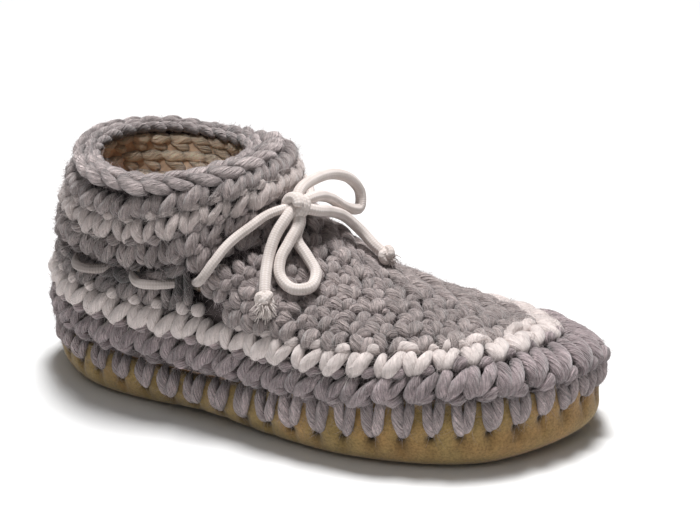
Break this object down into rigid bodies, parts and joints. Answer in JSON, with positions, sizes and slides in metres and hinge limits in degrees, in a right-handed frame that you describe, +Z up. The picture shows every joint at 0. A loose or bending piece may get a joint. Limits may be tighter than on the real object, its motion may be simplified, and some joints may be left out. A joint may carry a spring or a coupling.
{
  "type": "slipper",
  "caption": "Ankle-high crocheted wool slipper for the right foot with a soft suede sole, a pale stripe round the foot and the ankle, and a cotton lace tied in a bow.",
  "frame": {"origin": "on the floor under the forefoot's flat tread, at mid length of the sole", "axes": "+X to the toe, +Y to the inner side of the foot, +Z up"},
  "size_m": [0.2655, 0.1171, 0.1167],
  "materials": {
    "wool": "matte",
    "edge_wool": "matte",
    "suede": "matte",
    "insole": "matte",
    "cotton": "matte"
  },
  "bodies": {
    "root": {"outsole": "suede", "insole": "insole", "upper": "wool", "edge_stitches": "edge_wool", "lace_band": "cotton", "lace_knot": "cotton", "lace_loop_front": "cotton", "lace_loop_back": "cotton", "lace_end_front": "cotton", "lace_end_back": "cotton", "lace_tip_front": "cotton", "lace_tip_back": "cotton"}
  },
  "joints": []
}
